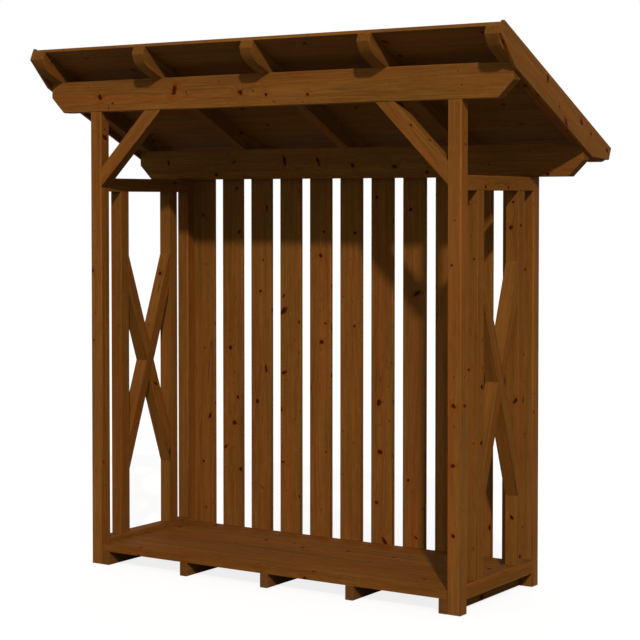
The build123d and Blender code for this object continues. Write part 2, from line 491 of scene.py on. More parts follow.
def wire_grain(w: Wiring, given: Sockets) -> Sockets:
    """Growth rings, streaks and fibres that run along the board.

    Args:
        w: the group's wiring.
        given: its inputs by name.

    Returns:
        Its outputs by name.
    """
    place = w.shifted(given["Place"], given["Lot"], GRAIN_SHIFT)
    _, across, through = w.split(given["Place"])
    lot_x, lot_y, _ = w.split(given["Lot"])
    heart_y = w.swing(lot_x, HEART_SPREAD, across)
    heart_z = w.plus(w.scaled(lot_y, HEART_RANGE, HEART_LEAST), through)
    wander = w.swing(w.noise(place, Pattern.WANDER), RING_WANDER)
    waver = w.swing(w.noise(place, Pattern.WAVER), RING_WAVER)
    ring = w.vector("LENGTH", w.joined(heart_y, heart_z, 0.0), output="Value")
    bend = w.plus(wander, waver, given["Pull"])
    turn = w.math("FRACT", w.ratio(w.plus(ring, bend), given["Ring Spacing"]))
    bent = w.vector("ADD", place, w.joined(0.0, bend, 0.0))
    return {
        "Rings": w.times(w.ramp(turn, 0.25, 0.86), w.fade(turn, 0.9, 1.0)),
        "Streaks": w.noise(bent, Pattern.STREAKS),
        "Flecks": w.noise(bent, Pattern.FLECKS),
        "Fibre": w.noise(bent, Pattern.FIBRE),
        "Blotch": w.noise(place, Pattern.BLOTCH),
        "Hue": w.noise(bent, Pattern.HUE),
        "Scuff": w.noise(bent, Pattern.SCUFF),
    }


def wire_arris(w: Wiring, given: Sockets) -> Sockets:
    """Pale arrises along the edges of a board, partly wear and partly a painted highlight, broken up
    along its length.

    Args:
        w: the group's wiring.
        given: its inputs by name.

    Returns:
        Its outputs by name.
    """
    gaps = w.vector("SUBTRACT", given["Half"], w.vector("ABSOLUTE", given["Place"]))
    one, two, three = w.split(gaps)
    larger = w.math("MINIMUM", w.math("MAXIMUM", one, two), three)
    second = w.math("MAXIMUM", w.math("MINIMUM", one, two), larger)
    broken = w.noise(w.vector("ADD", given["Place"], given["Lot"]), Pattern.BROKEN_ARRIS)
    reach = w.times(given["Reach"], w.scaled(broken, *ARRIS_BREAKS))
    return {"Wear": w.fade(second, 0.0, w.math("MAXIMUM", reach, NARROWEST_PALE_ARRIS))}


def wire_end_grain(w: Wiring, given: Sockets) -> Sockets:
    """Sawn ends, where the stain soaks in.

    Args:
        w: the group's wiring.
        given: its inputs by name.

    Returns:
        Its outputs by name.
    """
    face_x, _, _ = w.split(w.vector("ABSOLUTE", given["Facing"]))
    soaked = w.noise(w.vector("ADD", given["Place"], given["Lot"]), Pattern.SOAKED_END)
    mask = w.ramp(face_x, 0.35, 0.8)
    return {"Mask": mask, "Soak": w.times(mask, soaked)}


def wire_checks(w: Wiring, given: Sockets) -> Sockets:
    """Hairline drying cracks along the grain.

    Args:
        w: the group's wiring.
        given: its inputs by name.

    Returns:
        Its outputs by name.
    """
    place = w.shifted(given["Place"], given["Lot"], CRACK_SHIFT)
    line = w.math("ABSOLUTE", w.minus(w.noise(place, Pattern.CRACK_LINE), 0.5))
    low = w.minus(1.0, given["Amount"])
    high = w.minus(1.0 + CRACK_RUN, given["Amount"])
    where = w.ramp(w.noise(place, Pattern.CRACKED_PLACE), low, high)
    return {"Crack": w.times(w.fade(line, 0.0, CRACK_WIDTH), where)}


def wire_weather(w: Wiring, given: Sockets) -> Sockets:
    """Splashes near the ground, dust on what faces up, and the mask of what faces up for the painted
    shade on tops.

    Args:
        w: the group's wiring.
        given: its inputs by name.

    Returns:
        Its outputs by name.
    """
    _, _, height = w.split(given["Position"])
    _, _, up = w.split(given["Normal"])
    patchy = w.noise(given["Position"], Pattern.DIRT)
    upward = w.ramp(up, 0.6, 0.95)
    return {
        "Splash": w.times(w.fade(height, 0.0, SPLASH_HEIGHT), w.ramp(patchy, 0.42, 0.66)),
        "Settled": w.times(upward, w.ramp(patchy, 0.35, 0.75)),
        # the mask for the painted shade on what faces up
        "Upward": upward,
    }


KNOTS = Effect(
    "knots", ("Place", "Lot", "Facing"), ("Spacing", "Radius", "Share", "Stretch"),
    ("Core", "Halo", "Heart", "Pull"), wire_knots,
)
GRAIN = Effect(
    "grain", ("Place", "Lot"), ("Pull", "Ring Spacing"),
    ("Rings", "Streaks", "Flecks", "Fibre", "Blotch", "Hue", "Scuff"), wire_grain,
)
# pale arrises: partly wear, partly a painted highlight
ARRIS_WEAR_AND_HIGHLIGHT = Effect("arris wear", ("Place", "Lot", "Half"), ("Reach",), ("Wear",), wire_arris)
END_GRAIN = Effect("end grain", ("Place", "Lot", "Facing"), (), ("Mask", "Soak"), wire_end_grain)
CHECKS = Effect("drying checks", ("Place", "Lot"), ("Amount",), ("Crack",), wire_checks)
WEATHER_AND_SHADE = Effect(
    "weather", ("Position", "Normal"), (), ("Splash", "Settled", "Upward"), wire_weather,
)


# ---- finishes ------------------------------------------------------------------------------------

GRAIN_LAYERS = ("board_place", "board_half", "board_lot", "board_facing")
LATE_WOOD = (0.3, 0.22, 0.16, 1.0)
DUST = (0.2, 0.13, 0.075, 1.0)
SHEEN_TINT = (0.9, 0.62, 0.4, 1.0)
DARK_STREAK, PALE_STREAK, DARK_SCUFF = 0.62, 1.4, 0.45  # shades of the stain
# the last of these is the stain's shade for the painted shade on what faces up
# the second of these is the pale of the arrises, partly wear and partly a painted highlight
SOAKED, WORN_AND_HIGHLIT, SHADED_TOP = 0.45, 1.8, 0.5
BLOTCH_DEPTH, FIBRE_DEPTH = 1.1, 0.3  # how strongly these vary the colour
FLECK_DEPTH = 0.8                     # the same, as a share of the streaks'
END_SOAK, END_STAIN = 0.6, 0.1        # how far a sawn end darkens, in spots and all over
SPLASHED, SETTLED = 0.5, 0.35         # how thickly dirt lies in each


@dataclass(frozen=True)
class Mark:
    """A colour that a feature gives the wood.

    Attributes:
        colour: the colour.
        share: how strongly it shows where the feature is.
        laying: how it is laid on the wood.
    """

    colour: Colour
    share: float = 1.0
    laying: Laying = Laying.COVER

    def on(self, w: Wiring, wood: Socket, mask: Socket) -> Socket:
        """The wood's colour with the mark laid on it where the mask says."""
        return w.blend(w.times(mask, self.share), wood, self.colour, self.laying)


WARM = Mark((1.08, 0.9, 0.8, 1.0), laying=Laying.TINT)
COOL = Mark((0.9, 1.04, 1.04, 1.0), laying=Laying.TINT)
PALE_SCUFF = Mark((0.21, 0.12, 0.06, 1.0), 0.14)
KNOT_RIM = Mark((1.08, 0.84, 0.66, 1.0), 0.75, Laying.TINT)
KNOT_CORE = Mark((0.034, 0.0058, 0.0008, 1.0), 0.95)
KNOT_HEART = Mark((0.009, 0.0018, 0.0004, 1.0), 0.8)
PIN_KNOT = Mark((0.036, 0.008, 0.0012, 1.0), 0.75)
CRACK = Mark((0.02, 0.007, 0.002, 1.0), 0.62)


@dataclass(frozen=True)
class Knotting:
    """One kind of knot in a timber.

    Attributes:
        spacing: how far apart knots may lie.
        radius: size of a middling knot.
        share: the share of places that hold a knot.
        stretch: how far the longest are drawn out.
    """

    spacing: float = 0.13
    radius: float = 0.010
    share: float = 0.6
    stretch: float = 1.6


PIN_KNOTS = Knotting(0.05, 0.0026, 0.42, 4.5)


@dataclass(frozen=True)
class Sheen:
    """How the stain shines.

    Attributes:
        roughness: its roughness on the flat of the board.
        gloss: its level.
        streaks: how much the roughness differs between streaks.
        knots: what a knot adds to the roughness.
        rings: what the late wood adds.
        ends: what a sawn end adds.
        worn: what a worn arris adds.
    """

    roughness: float = 0.86
    gloss: float = 0.055
    streaks: float = 0.3
    knots: float = -0.04
    rings: float = -0.08
    ends: float = 0.1
    worn: float = 0.06


@dataclass(frozen=True)
class Relief:
    """The fine relief: raised late wood, open fibres, proud knots, sunk cracks and rough ends.

    Attributes:
        unit: the height that the others count in.
        strength: how strongly it shows.
        fibre: the height of the fibres.
        rings: the height of the late wood.
        knot: the height of a knot.
        rim: a knot's rim, as a share of that.
        ends: the roughness of a sawn end.
        crack: the depth of a crack.
    """

    unit: float = 0.0005
    strength: float = 0.6
    fibre: float = 0.35
    rings: float = 0.4
    knot: float = 2.0
    rim: float = 0.4
    ends: float = 1.2
    crack: float = 2.5


@dataclass(frozen=True)
class Features:
    """What the shared effects give one finish.

    Attributes:
        grain: the grain effect's outputs.
        knots: the knot effect's outputs.
        pins: the same for the pin knots.
        ends: the end grain effect's outputs.
        weather: the weather effect's outputs.
        wear: the mask of the pale arrises, worn and with a painted highlight.
        crack: the mask of the drying checks.
        tone: the board's chance tone.
    """

    grain: Outputs
    knots: Outputs
    pins: Outputs
    ends: Outputs
    # weather: the outputs of the weather effect, which also gives the mask for the painted shade on
    # tops.
    weather: Outputs
    wear: Socket
    crack: Socket
    tone: Socket


@dataclass(frozen=True)
class TimberFinish:
    """Stained softwood, with the grain, knots, edges and age of one kind of timber.

    Attributes:
        slot: the record's material slot.
        stain: the stain's colour.
        level: how light the whole finish is.
        board_spread: how much one board differs in tone from the next.
        ring_spacing: width of a year's growth.
        ring_depth: how much darker the late wood is.
        streak_depth: how strongly broad streaks vary.
        knotting: its larger knots.
        wear: how much the arrises pale, as wear and as a painted highlight.
        wear_reach: how far in from an arris it pales.
        cracked: how much of it has drying checks.
        dusty: how much dust and splashing it holds.
        grime: how much painted shade darkens what faces up.
        sheen: how it shines.
        relief: its fine relief.
    """

    slot: str
    stain: Stain = Stain.NUT
    level: float = 1.0
    board_spread: float = 0.3
    ring_spacing: float = 0.0062
    ring_depth: float = 0.16
    streak_depth: float = 0.3
    knotting: Knotting = Knotting()
    wear: float = 0.18
    wear_reach: float = 0.005
    cracked: float = 0.34
    dusty: float = 0.1
    grime: float = 0.5
    sheen: Sheen = Sheen()
    relief: Relief = Relief()

    def material(self) -> bpy.types.Material:
        """Build the finish.

        Returns:
            The material.
        """
        made = bpy.data.materials.new(self.slot)
        w = Wiring.fresh(made)
        on = self.features(w)
        shader = w.node("ShaderNodeBsdfPrincipled")
        w.feed(shader.inputs["Base Color"], self.aged(w, on, self.knotted(w, on, self.wood(w, on))))
        w.feed(shader.inputs["Roughness"], self.roughness(w, on))
        w.feed(shader.inputs["Normal"], self.normal(w, on))
        shader.inputs["Specular IOR Level"].default_value = self.sheen.gloss
        shader.inputs["Specular Tint"].default_value = SHEEN_TINT
        w.feed(w.node("ShaderNodeOutputMaterial").inputs["Surface"], shader.outputs[0])
        return made

    def shade(self, level: float) -> Colour:
        """The stain at this finish's own lightness, times a level."""
        return self.stain.shade(level * self.level)

    def features(self, w: Wiring) -> Features:
        """Place the shared effects with this finish's sizes.

        Args:
            w: the material's wiring.

        Returns:
            Their outputs.
        """
        place, half, lot, facing = (
            w.node("ShaderNodeAttribute", attribute_name=name).outputs["Vector"]
            for name in GRAIN_LAYERS
        )
        position = w.node("ShaderNodeTexCoord").outputs["Object"]
        normal = w.node("ShaderNodeNewGeometry").outputs["Normal"]
        knots, pins = (
            KNOTS.place(
                w, Place=place, Lot=lot, Facing=facing,
                Spacing=kind.spacing, Radius=kind.radius, Share=kind.share, Stretch=kind.stretch,
            )
            for kind in (self.knotting, PIN_KNOTS)
        )
        pull = w.plus(knots("Pull"), pins("Pull"))
        return Features(
            grain=GRAIN.place(w, Place=place, Lot=lot, Pull=pull, Ring_Spacing=self.ring_spacing),
            knots=knots,
            pins=pins,
            ends=END_GRAIN.place(w, Place=place, Lot=lot, Facing=facing),
            weather=WEATHER_AND_SHADE.place(w, Position=position, Normal=normal),
            wear=ARRIS_WEAR_AND_HIGHLIGHT.place(w, Place=place, Lot=lot, Half=half, Reach=self.wear_reach)("Wear"),
            crack=CHECKS.place(w, Place=place, Lot=lot, Amount=self.cracked)("Crack"),
            tone=w.split(lot)[2],
        )

    def wood(self, w: Wiring, on: Features) -> Socket:
        """The stained wood: the board's own tone, streaks, flecks, fibres and rings.

        Args:
            w: the material's wiring.
            on: the features on the wood.

        Returns:
            The colour's socket.
        """
        depth = self.streak_depth
        streak = w.ramp(on.grain("Streaks"), 0.3, 0.7, -depth, depth)
        fleck_depth = depth * FLECK_DEPTH
        fleck = w.ramp(on.grain("Flecks"), 0.32, 0.68, -fleck_depth, fleck_depth)
        blotch = w.swing(on.grain("Blotch"), BLOTCH_DEPTH)
        board = w.swing(on.tone, self.board_spread)
        fibre = w.swing(on.grain("Fibre"), FIBRE_DEPTH)
        mixed = w.plus(streak, fleck, blotch, w.plus(board, fibre))
        share = w.scaled(mixed, 0.5, 0.5, clamp=True)
        colour = w.blend(share, self.shade(DARK_STREAK), self.shade(PALE_STREAK))
        colour = WARM.on(w, colour, w.ramp(on.grain("Hue"), 0.5, 0.72))
        colour = COOL.on(w, colour, w.fade(on.grain("Hue"), 0.28, 0.5))
        colour = PALE_SCUFF.on(w, colour, w.ramp(on.grain("Scuff"), 0.52, 0.75))
        dark_scuff = w.ramp(on.grain("Scuff"), 0.25, 0.46, 0.3, 0.0)
        colour = w.blend(dark_scuff, colour, self.shade(DARK_SCUFF))
        return w.blend(w.times(on.grain("Rings"), self.ring_depth), colour, LATE_WOOD, Laying.TINT)

    def knotted(self, w: Wiring, on: Features, colour: Socket) -> Socket:
        """The wood with its knots: a reddish rim round a dark red core, and small pin knots.

        Args:
            w: the material's wiring.
            on: the features on the wood.
            colour: the wood's colour.

        Returns:
            The colour's socket.
        """
        colour = KNOT_RIM.on(w, colour, on.knots("Halo"))
        colour = KNOT_CORE.on(w, colour, on.knots("Core"))
        colour = KNOT_HEART.on(w, colour, on.knots("Heart"))
        return PIN_KNOT.on(w, colour, on.pins("Core"))

    def aged(self, w: Wiring, on: Features, colour: Socket) -> Socket:
        """The wood after some use: soaked ends, pale arrises of wear and painted highlight, fine
        cracks, painted shade on tops and a little dust.

        Args:
            w: the material's wiring.
            on: the features on the wood.
            colour: the wood's colour.

        Returns:
            The colour's socket.
        """
        soaked = w.scaled(on.ends("Soak"), END_SOAK, w.times(on.ends("Mask"), END_STAIN))
        colour = w.blend(soaked, colour, self.stain.shade(SOAKED))
        # pale arrises: partly wear, partly a painted highlight on edges that face the light
        colour = w.blend(w.times(on.wear, self.wear), colour, self.shade(WORN_AND_HIGHLIT))
        colour = CRACK.on(w, colour, on.crack)
        # painted shade: faces that look up are darkened towards a shade of the stain
        colour = w.blend(w.times(on.weather("Upward"), self.grime), colour, self.shade(SHADED_TOP))
        dust = w.scaled(on.weather("Splash"), SPLASHED, w.times(on.weather("Settled"), SETTLED))
        return w.blend(w.times(dust, self.dusty), colour, DUST)

    def roughness(self, w: Wiring, on: Features) -> Socket:
        """The roughness: rougher at ends and worn arrises, smoother on knots and late wood.

        Args:
            w: the material's wiring.
            on: the features on the wood.

        Returns:
            The roughness's socket.
        """
        rough = w.swing(on.grain("Streaks"), self.sheen.streaks, self.sheen.roughness)
        rough = w.scaled(on.knots("Core"), self.sheen.knots, rough)
        rough = w.scaled(on.grain("Rings"), self.sheen.rings, rough)
        rough = w.scaled(on.ends("Mask"), self.sheen.ends, rough)
        return w.scaled(on.wear, self.sheen.worn, rough, clamp=True)

    def normal(self, w: Wiring, on: Features) -> Socket:
        """The fine relief as a bent normal.

        Args:
            w: the material's wiring.
            on: the features on the wood.

        Returns:
            The normal's socket.
        """
        relief = self.relief
        height = w.scaled(on.grain("Fibre"), relief.fibre, w.times(on.grain("Rings"), relief.rings))
        knot = w.plus(on.knots("Core"), w.times(on.knots("Halo"), relief.rim))
        height = w.scaled(knot, relief.knot, height)
        height = w.scaled(on.ends("Soak"), relief.ends, height)
        height = w.scaled(on.crack, -relief.crack, height)
        bump = w.node("ShaderNodeBump")
        bump.inputs["Strength"].default_value = relief.strength
        bump.inputs["Distance"].default_value = relief.unit
        w.feed(bump.inputs["Height"], height)
        return bump.outputs["Normal"]


FINISHES: tuple[TimberFinish, ...] = (
    TimberFinish("bearer_timber", Stain.DEEP, 0.95, wear=0.2, dusty=0.2, sheen=Sheen(0.95, 0.03)),
    # the floor's low level of 0.82 is painted shade on boards that face up, standing in for the
    # painted shade on tops that the other finishes have
    TimberFinish(
        "floor_timber", Stain.NUT, 0.82, wear=0.05, dusty=0.0, grime=0.0, sheen=Sheen(1.0, 0.015),
    ),
    # the posts' broader, paler arrises are mostly a painted highlight
    TimberFinish(
        "post_timber", Stain.NUT, 0.99, knotting=Knotting(radius=0.0085, share=0.5),
        wear=0.24, wear_reach=0.010, cracked=0.1,
    ),
    TimberFinish(
        "purlin_timber", Stain.NUT, 1.01, ring_depth=0.2, knotting=Knotting(0.11, 0.011, 0.8),
    ),
    TimberFinish("brace_timber", Stain.NUT, 0.97, knotting=Knotting(share=0.75)),
    TimberFinish(
        "panel_timber", Stain.NUT, 0.95, board_spread=0.12, streak_depth=0.24,
        knotting=Knotting(radius=0.0085, share=0.7), wear=0.1, sheen=Sheen(0.95, 0.02),
    ),
    TimberFinish("back_timber", Stain.NUT, 0.97, knotting=Knotting(0.11, share=0.65)),
    TimberFinish("rafter_timber", Stain.NUT, 0.97),
    TimberFinish(
        "roof_timber", Stain.DEEP, 1.05, knotting=Knotting(0.2, share=0.45),
        dusty=0.4, grime=0.0, sheen=Sheen(0.85, 0.06),
    ),
    TimberFinish("verge_timber", Stain.NUT, 1.0, knotting=Knotting(0.09, 0.012, 1.9)),
)


# ---- timbers -------------------------------------------------------------------------------------

Plane = tuple[Vector, Vector]
Arrises = tuple[tuple[int, int], ...]
HAIR, NEAR = 1e-6, 1e-5  # distances that count as none, for cuts and for corners
FLAT, SHARP = 0.01, 0.2  # in radians: flatter faces are one, and sharper edges are eased


def lay(centre: Vector, along: Vector, across: Vector) -> Matrix:
    """The turn and shift that lay a timber in its place.

    Args:
        centre: where its middle goes.
        along: the direction of its length.
        across: the direction of its width.

    Returns:
        The matrix from the timber's own axes.
    """
    turned = Matrix((along, across, along.cross(across))).transposed().to_4x4()
    return Matrix.Translation(centre) @ turned


def in_housing(place: Vector, walls: tuple[Plane, Plane], bed: Plane, slack: float) -> bool:
    """Whether a place lies in a housing.

    Args:
        place: the place.
        walls: a point and an outward direction for each wall.
        bed: a point of the bed and the direction of what is cut away.
        slack: how far outside it may lie.

    Returns:
        True if it does.
    """
    between = all((place - point).dot(normal) < slack for point, normal in walls)
    return between and (place - bed[0]).dot(bed[1]) > -slack


@dataclass
class Timber:
    """One length of wood, shaped on its own axes: X along, Y across and Z through it.

    Attributes:
        length: its length.
        width: its width.
        depth: its thickness.
        mark: names this length, and so picks its grain, knots and tone.
        eased: how far its sawn ends are eased.
        arris_turn: how far a long arris may turn from the length, in degrees.
        mesh: the shape so far.
    """

    length: float
    width: float
    depth: float
    mark: str
    eased: float = 0.0006
    arris_turn: float = 14.0
    mesh: bmesh.types.BMesh = field(default_factory=bmesh.new)

    def __post_init__(self) -> None:
        """Saw the square blank."""
        bmesh.ops.create_cube(self.mesh, size=1.0)
        bmesh.ops.scale(self.mesh, vec=(self.length, self.width, self.depth), verts=self.mesh.verts)

    def cut(self, point: Vector, normal: Vector, clear: bool) -> None:
        """Saw through the timber in a plane.

        Args:
            point: a point of the plane.
            normal: the plane's direction.
            clear: whether the part that the direction points to falls off.
        """
        parts = self.mesh.verts[:] + self.mesh.edges[:] + self.mesh.faces[:]
        bmesh.ops.bisect_plane(
            self.mesh, geom=parts, dist=HAIR, plane_co=point, plane_no=normal, clear_outer=clear,
        )
        if clear:
            rim = [e for e in self.mesh.edges if e.is_boundary]
            bmesh.ops.holes_fill(self.mesh, edges=rim, sides=0)

    def trim(self, point: Vector, normal: Vector) -> None:
        """Saw off what lies beyond a plane, on the side that its direction points to."""
        self.cut(point, normal, clear=True)

    def merge_flats(self) -> None:
        """Make one face of those that lie in a plane, with their normals outwards."""
        mesh = self.mesh
        bmesh.ops.dissolve_limit(mesh, angle_limit=FLAT, verts=mesh.verts, edges=mesh.edges)
        bmesh.ops.recalc_face_normals(mesh, faces=mesh.faces)

    def house(self, walls: tuple[Plane, Plane], bed: Plane) -> None:
        """Cut a housing right across the timber: two walls and a flat bed.

        Args:
            walls: a point and an outward direction for each wall.
            bed: a point of the bed and the direction of what is cut away.
        """
        for point, normal in (*walls, bed):
            self.cut(point, normal, clear=False)
        gone = [
            f for f in self.mesh.faces if in_housing(f.calc_center_median(), walls, bed, -HAIR)
        ]
        bmesh.ops.delete(self.mesh, geom=gone, context="FACES")
        rim = [v for v in self.mesh.verts if v.is_boundary and in_housing(v.co, walls, bed, NEAR)]
        for point, normal in (*walls, bed):
            corners = [v for v in rim if abs((v.co - point).dot(normal)) < NEAR]
            bmesh.ops.contextual_create(self.mesh, geom=corners)
        self.merge_flats()

    def round_arrises(self, radius: float, square: Arrises = ()) -> "Timber":
        """Round the long arrises, and ease every other outward edge a little.

        Args:
            radius: how far the rounding reaches.
            square: the long arrises to leave square, by the signs of their Y and Z.

        Returns:
            The timber itself.
        """
        self.merge_flats()
        least = math.cos(math.radians(self.arris_turn))
        long_edges, others = [], []
        for edge in self.mesh.edges:
            one, two = (v.co for v in edge.verts)
            middle = (one + two) / 2
            signs = (int(math.copysign(1, middle.y)), int(math.copysign(1, middle.z)))
            on_face = abs(middle.z) > self.depth / 2 - NEAR
            if not (on_face and abs((one - two).normalized().x) > least):
                others.append(edge)
            elif signs not in square:
                long_edges.append(edge)
        rounded = self.bevel(long_edges, radius)
        others = [e for e in others if e.is_valid and e.calc_face_angle() > SHARP]
        for face in (*rounded, *self.bevel(others, self.eased)):
            if face.is_valid:
                face.smooth = True
        return self

    def bevel(self, edges: list[bmesh.types.BMEdge], reach: float) -> list[bmesh.types.BMFace]:
        """Bevel some edges.

        Args:
            edges: the edges.
            reach: how far the bevel reaches.

        Returns:
            The new faces.
        """
        made = bmesh.ops.bevel(
            self.mesh, geom=edges, offset=reach, offset_type="OFFSET", segments=2, profile=0.5,
            affect="EDGES", clamp_overlap=True, material=-1,
        )
        return made["faces"]

    def place(self, where: Matrix) -> bmesh.types.BMesh:
        """Note the grain's coordinates on the mesh, then lay the timber in its place.

        Args:
            where: the turn and shift from its own axes.

        Returns:
            The mesh in the frame of the whole object.
        """
        chance = random.Random(self.mark)
        lot = Vector((chance.random(), chance.random(), chance.random()))
        half = Vector((self.length, self.width, self.depth)) / 2
        on_verts = self.mesh.verts.layers.float_vector.new(GRAIN_LAYERS[0])
        on_faces = [self.mesh.faces.layers.float_vector.new(name) for name in GRAIN_LAYERS[1:]]
        for vert in self.mesh.verts:
            vert[on_verts] = vert.co
        self.mesh.normal_update()
        for face in self.mesh.faces:
            for layer, value in zip(on_faces, (half, lot, face.normal.copy())):
                face[layer] = value
        bmesh.ops.transform(self.mesh, matrix=where, verts=self.mesh.verts)
        return self.mesh


@dataclass
class Piece:
    """One named piece of the store: its timbers joined in one mesh, with its finish.

    Attributes:
        node: the frame's node that it stands for.
        slot: its material slot.
        timbers: the lengths of wood in it, in place.
    """

    node: str
    slot: str
    timbers: list[bmesh.types.BMesh] = field(default_factory=list)

    def finish(self, finishes: dict[str, bpy.types.Material]) -> None:
        """Join the timbers, dress the piece, put it on the frame and report it.

        Args:
            finishes: the materials by slot.
        """
        whole = bmesh.new()
        for number, timber in enumerate(self.timbers):
            part = bpy.data.meshes.new(f"{self.node}_{number}")
            timber.to_mesh(part)
            timber.free()
            whole.from_mesh(part)
            bpy.data.meshes.remove(part)
        mesh = bpy.data.meshes.new(f"{self.node}_wood")
        whole.to_mesh(mesh)
        whole.free()
        mesh.materials.append(finishes[self.slot])
        made = bpy.data.objects.new(f"{self.node}_wood", mesh)
        bpy.context.collection.objects.link(made)
        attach(made, BODY)
        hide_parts(self.node)
        low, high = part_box(self.node)
        extents = [(min(values), max(values)) for values in zip(*(v.co for v in mesh.vertices))]
        off = max(max(abs(a - low[i]), abs(b - high[i])) for i, (a, b) in enumerate(extents))
        log.info(
            "%s: %d timbers, %d faces, %.2f mm from its node",
            made.name, len(self.timbers), len(mesh.polygons), off * 1000,
        )


def along_z(node: str, arris: float, square: Arrises = ()) -> bmesh.types.BMesh:
    """A square-cut upright timber that fills its node's box.

    Args:
        node: the node.
        arris: the edges' rounding.
        square: the arrises to leave square, by the signs of their X and Y.

    Returns:
        Its mesh, in place.
    """
    low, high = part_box(node)
    size = high - low
    post = Timber(size.z, size.x, size.y, node).round_arrises(arris, square)
    return post.place(lay((low + high) / 2, Z, X))


def along_y(node: str, arris: float) -> bmesh.types.BMesh:
    """A square-cut timber that runs from front to back and fills its node's box.

    Args:
        node: the node.
        arris: the edges' rounding.

    Returns:
        Its mesh, in place.
    """
    low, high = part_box(node)
    size = high - low
    bar = Timber(size.y, size.z, size.x, node).round_arrises(arris)
    return bar.place(lay((low + high) / 2, Y, Z))


# ---- the store's parts ---------------------------------------------------------------------------


@dataclass
class Floor:
    """Bearers on the ground and the boards across them.

    Attributes:
        bearers: how many bearers there are.
        boards: how many floor boards there are.
        joint: the open joint between boards.
        arris: the rounding of a bearer's edges.
        board_arris: the rounding of a board's edges.
    """

    bearers: int = 5
    boards: int = 5
    joint: float = 0.0015
    arris: float = 0.002
    board_arris: float = 0.0015

    def pieces(self) -> list[Piece]:
        """Build the bearers and the boards.

        Returns:
            Their pieces.
        """
        bearers = [f"bearer_{n}" for n in range(1, self.bearers + 1)]
        made = [Piece(node, "bearer_timber", [along_y(node, self.arris)]) for node in bearers]
        low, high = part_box("floor_boards")
        middle = (low + high) / 2
        pitch = (high.y - low.y + self.joint) / self.boards
        width = pitch - self.joint
        deck = Piece("floor_boards", "floor_timber")
        for n in range(self.boards):
            board = Timber(high.x - low.x, width, high.z - low.z, f"floor_{n}")
            centre = Vector((middle.x, low.y + pitch * n + width / 2, middle.z))
            deck.timbers.append(board.round_arrises(self.board_arris).place(lay(centre, X, Y)))
        return [*made, deck]


@dataclass
class PostFrame:
    """Four posts, the two purlins on them and the two front braces.

    Attributes:
        purlin_clip: what is cut off each lower end corner of a purlin.
        brace_width: a brace's width in the plane of the front.
        brace_blank: a brace's length before its ends are cut, in legs of its corner.
        arris: the rounding of the edges.
    """

    purlin_clip: float = 0.07
    brace_width: float = 0.063
    brace_blank: float = 1.5
    arris: float = 0.003

    def purlin(self, row: Row) -> Piece:
        """A long timber on its row of posts, with its lower end corners clipped at 45 degrees.

        Args:
            row: which row.

        Returns:
            The piece.
        """
        node = f"purlin_{row.value}"
        low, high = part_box(node)
        size = high - low
        beam = Timber(size.x, size.z, size.y, node)
        for end in (-1, 1):
            corner = Vector((end * (size.x / 2 - self.purlin_clip), -size.z / 2, 0))
            beam.trim(corner, Vector((end, -1, 0)).normalized())
        beam.round_arrises(self.arris)
        return Piece(node, "purlin_timber", [beam.place(lay((low + high) / 2, X, Z))])

    def brace(self, side: Side) -> Piece:
        """A 45 degree brace from a front post up to the purlin.

        Args:
            side: which post.

        Returns:
            The piece.
        """
        node = f"brace_{side.word}"
        low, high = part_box(node)
        inward = -side.value
        at_post = high.x if side is Side.RIGHT else low.x
        leg = high.z - low.z
        along = Vector((inward, 0, 1)).normalized()
        outer_middle = Vector((at_post + inward * leg / 2, (low.y + high.y) / 2, high.z - leg / 2))
        across = Vector((-inward, 0, 1)).normalized()
        centre = outer_middle + across * self.brace_width / 2
        where = lay(centre, along, across)
        back = where.inverted().to_3x3()
        bar = Timber(leg * self.brace_blank, self.brace_width, high.y - low.y, node)
        for point, normal in (
            (Vector((at_post, centre.y, low.z)), X * side.value),
            (Vector((at_post, centre.y, high.z)), Z),
        ):
            bar.trim(where.inverted() @ point, back @ normal)
        return Piece(node, "brace_timber", [bar.round_arrises(self.arris).place(where)])

    def pieces(self) -> list[Piece]:
        """Build the posts, purlins and braces.

        A rear post's inner arris behind stays square, where the end back board meets it.

        Returns:
            Their pieces.
        """
        made = []
        for side in Side:
            for row, square in ((Row.FRONT, ()), (Row.REAR, ((-side.value, 1),))):
                node = f"post_{row.value}_{side.word}"
                made.append(Piece(node, "post_timber", [along_z(node, self.arris, square)]))
        made += [self.purlin(row) for row in Row]
        return made + [self.brace(side) for side in Side]


